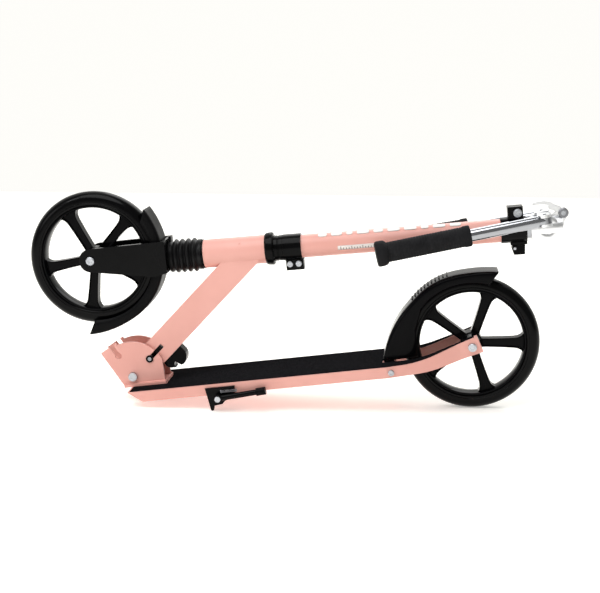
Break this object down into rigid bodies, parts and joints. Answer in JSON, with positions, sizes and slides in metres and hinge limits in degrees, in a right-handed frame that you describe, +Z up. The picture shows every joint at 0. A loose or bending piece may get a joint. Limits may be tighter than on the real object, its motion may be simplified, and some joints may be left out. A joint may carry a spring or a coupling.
{
  "type": "kick scooter",
  "caption": "Folding kick scooter with big spoked wheels, sprung fork, height-adjustable stem, folding handles, foot brake and side stand, shown folded.",
  "frame": {"origin": "middle of the folded scooter's footprint, on the ground it stands on", "axes": "+X from the front wheel towards the rear wheel, +Y to the rider's right, +Z up"},
  "size_m": [0.7962, 0.1437, 0.3173],
  "materials": {
    "pink_paint": "satin powder coat",
    "black_paint": "gloss",
    "black_gloss_plastic": "gloss",
    "black_satin_plastic": "satin",
    "tyre_black": "glossy cast polyurethane",
    "grip_rubber": "matte foam rubber",
    "bellows_rubber": "satin",
    "tape_grit": "fine grit",
    "zinc_steel": "zinc plated",
    "spring_steel": "plain",
    "chrome_tube": "polished",
    "cast_silver": "polished casting"
  },
  "bodies": {
    "chassis": {"deck": "pink_paint", "grip_tape": "tape_grit", "fold_bracket": "pink_paint", "fold_bolt": "zinc_steel", "fold_nut": "zinc_steel", "fender_rod": "zinc_steel", "fender_spring": "spring_steel", "kickstand_bracket": "black_paint", "kickstand_bolt": "zinc_steel", "kickstand_spring": "spring_steel", "rear_axle": "zinc_steel", "rear_axle_nut": "zinc_steel"},
    "rear wheel": {"rear_tyre": "tyre_black", "rear_rim": "black_gloss_plastic", "rear_bearing_left": "zinc_steel", "rear_bearing_right": "zinc_steel"},
    "foot brake": {"rear_fender": "black_gloss_plastic", "fender_grip_strip": "black_satin_plastic"},
    "side stand": {"kickstand_leg": "black_paint", "kickstand_foot": "black_satin_plastic"},
    "neck": {"neck_frame": "pink_paint", "fold_bush": "zinc_steel", "lock_spring": "spring_steel", "lower_headset_cup": "black_paint", "lower_headset_bearing": "zinc_steel", "upper_headset_cup": "black_paint", "upper_headset_bearing": "zinc_steel"},
    "fold lock": {"lock_pin": "zinc_steel", "release_trigger": "black_gloss_plastic"},
    "stem": {"steerer_tube": "zinc_steel", "suspension_spring": "spring_steel", "headset_locknut": "black_paint", "stem_tube": "pink_paint", "stem_clamp": "black_paint", "stem_clamp_bolt_lower": "zinc_steel", "stem_clamp_bolt_upper": "zinc_steel", "upper_clamp": "black_paint", "upper_clamp_bolt": "zinc_steel", "cam_pin": "zinc_steel"},
    "fork": {"fork": "black_paint", "bellows": "bellows_rubber", "bellows_tie": "black_satin_plastic", "front_mudguard": "black_satin_plastic", "front_axle": "zinc_steel", "front_axle_nut": "zinc_steel"},
    "front wheel": {"front_tyre": "tyre_black", "front_rim": "black_gloss_plastic", "front_bearing_left": "zinc_steel", "front_bearing_right": "zinc_steel"},
    "height lever": {"clamp_lever": "black_gloss_plastic"},
    "handlebar": {"slider_tube": "chrome_tube", "t_head": "cast_silver", "t_lever_bolt": "zinc_steel", "left_handle_pin": "zinc_steel", "right_handle_pin": "zinc_steel"},
    "bar lever": {"t_lever": "cast_silver"},
    "left handle": {"left_handle": "chrome_tube", "left_grip": "grip_rubber"},
    "right handle": {"right_handle": "chrome_tube", "right_grip": "grip_rubber"}
  },
  "joints": [
    {"name": "rear_wheel_spin", "type": "hinge", "parent": "chassis", "child": "rear wheel", "pos_m": [0.26579, 0, 0.1], "axis": [0, 1, 0], "continuous": true},
    {"name": "brake_press", "type": "hinge", "parent": "chassis", "child": "foot brake", "pos_m": [0.14887, 0, 0.06405], "axis": [0, 1, 0], "range_deg": [0, 1.8], "stiffness_Nm_per_rad": 3, "springref_deg": -14.32},
    {"name": "stand_swing", "type": "hinge", "parent": "chassis", "child": "side stand", "pos_m": [-0.10452, 0, 0.02091], "axis": [0, 1, 0], "range_deg": [0, 95]},
    {"name": "stem_fold", "type": "hinge", "parent": "chassis", "child": "neck", "pos_m": [-0.24116, 0, 0.03891], "axis": [0, -1, 0], "range_deg": [0, 78]},
    {"name": "lock_release", "type": "slide", "parent": "neck", "child": "fold lock", "axis": [0.6781, 0, 0.735], "range_m": [0, 0.0236], "stiffness_N_per_m": 400, "springref_m": -0.02, "deforming": ["lock_spring"]},
    {"name": "steer", "type": "hinge", "parent": "neck", "child": "stem", "pos_m": [-0.13214, 0, 0.22532], "axis": [0.9955, 0, 0.0942], "range_deg": [-90, 90]},
    {"name": "fork_spring", "type": "slide", "parent": "stem", "child": "fork", "axis": [0.9955, 0, 0.0942], "range_m": [0, 0.012], "stiffness_N_per_m": 20000, "springref_m": -0.004, "deforming": ["bellows", "suspension_spring"]},
    {"name": "front_wheel_spin", "type": "hinge", "parent": "fork", "child": "front wheel", "pos_m": [-0.29813, 0, 0.21734], "axis": [0, 1, 0], "continuous": true},
    {"name": "height_lever_flip", "type": "hinge", "parent": "stem", "child": "height lever", "pos_m": [0.32385, 0, 0.24167], "axis": [0, 1, 0], "range_deg": [0, 90]},
    {"name": "bar_height", "type": "slide", "parent": "stem", "child": "handlebar", "axis": [0.9955, 0, 0.0942], "range_m": [0, 0.18]},
    {"name": "bar_lever_flip", "type": "hinge", "parent": "handlebar", "child": "bar lever", "pos_m": [0.39066, 0, 0.2946], "axis": [0, 1, 0], "range_deg": [0, 75]},
    {"name": "left_handle_fold", "type": "hinge", "parent": "handlebar", "child": "left handle", "pos_m": [0.36399, -0.024, 0.28555], "axis": [-0.1978, 0, 0.9802], "range_deg": [0, 83.2]},
    {"name": "right_handle_fold", "type": "hinge", "parent": "handlebar", "child": "right handle", "pos_m": [0.36399, 0.024, 0.28555], "axis": [0.1978, 0, -0.9802], "range_deg": [0, 83.2]}
  ]
}
